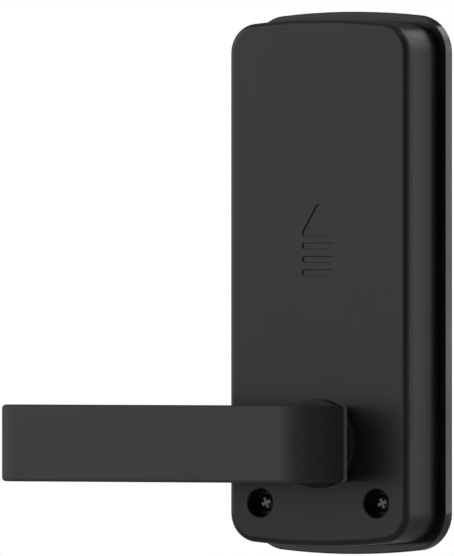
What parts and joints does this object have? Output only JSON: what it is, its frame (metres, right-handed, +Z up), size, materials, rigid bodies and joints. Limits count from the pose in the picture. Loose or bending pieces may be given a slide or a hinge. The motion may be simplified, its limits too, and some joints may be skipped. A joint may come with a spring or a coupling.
{
  "type": "smart lock indoor lever unit",
  "caption": "Indoor half of a lever smart lock: tall crowned casing on a door plate, sliding battery cover with a sunk arrow, square-necked lever, and the works inside.",
  "frame": {"origin": "where the spindle's axis meets the door face, midway between the two through-bolt holes", "axes": "+Z up, +Y into the door along the spindle, -Y towards the room, +X to the right as seen from the room"},
  "size_m": [0.136, 0.1, 0.1749],
  "materials": {
    "casing_paint": "satin black paint on a die casting",
    "cover_paint": "satin black paint on moulded plastic",
    "plate_paint": "satin black paint on a die casting",
    "lever_paint": "satin black paint on a die casting",
    "rose_paint": "satin black paint on a turned ring",
    "spacer_plastic": "dark grey moulded plastic",
    "dark_screws": "black zinc plated steel",
    "zinc_steel": "zinc plated steel",
    "spring_steel": "drawn spring wire",
    "nylon": "natural nylon",
    "tray_plastic": "black moulded plastic",
    "cell_jacket": "shrink jacket, bare of words",
    "contact_nickel": "nickel plated sheet and wire",
    "board_laminate": "green solder mask",
    "board_part_plastic": "black moulded parts",
    "socket_plastic": "cream nylon",
    "pin_brass": "gold flashed pins",
    "button_plastic": "pale moulded plastic"
  },
  "bodies": {
    "base": {"mounting_plate": "plate_paint", "screw_posts": "zinc_steel", "housing": "casing_paint", "lower_housing_screws": "dark_screws", "upper_housing_screw": "dark_screws", "lever_rose": "rose_paint", "lever_bush": "nylon", "return_spring": "spring_steel", "battery_tray": "tray_plastic", "tray_screws": "zinc_steel", "battery_cell_1": "cell_jacket", "battery_cell_2": "cell_jacket", "battery_cell_3": "cell_jacket", "battery_cell_4": "cell_jacket", "negative_terminal": "contact_nickel", "positive_terminal": "contact_nickel", "lower_bridge_contact": "contact_nickel", "upper_bridge_contacts": "contact_nickel", "contact_springs": "contact_nickel", "control_board": "board_laminate", "board_parts": "board_part_plastic", "board_screws": "zinc_steel", "cable_socket": "socket_plastic", "socket_pins": "pin_brass", "reset_switch": "board_part_plastic"},
    "lever": {"lever": "lever_paint", "neck_spacer": "spacer_plastic", "spindle": "zinc_steel", "lever_set_screw": "dark_screws", "drive_hub": "zinc_steel", "hub_washer": "zinc_steel", "retaining_ring": "spring_steel"},
    "battery_cover": {"battery_cover": "cover_paint"},
    "reset_button": {"reset_button": "button_plastic"}
  },
  "joints": [
    {"name": "lever_turn", "type": "hinge", "parent": "base", "child": "lever", "pos_m": [0, 0, 0], "axis": [0, -1, 0], "range_deg": [0, 50], "stiffness_Nm_per_rad": 1.2, "springref_deg": -28.65, "deforming": ["return_spring"]},
    {"name": "battery_cover_slide", "type": "slide", "parent": "base", "child": "battery_cover", "axis": [0, 0, 1], "range_m": [0, 0.14]},
    {"name": "reset_button_press", "type": "slide", "parent": "base", "child": "reset_button", "axis": [0, 1, 0], "range_m": [0, 0.0005], "stiffness_N_per_m": 400, "springref_m": -0.002}
  ]
}
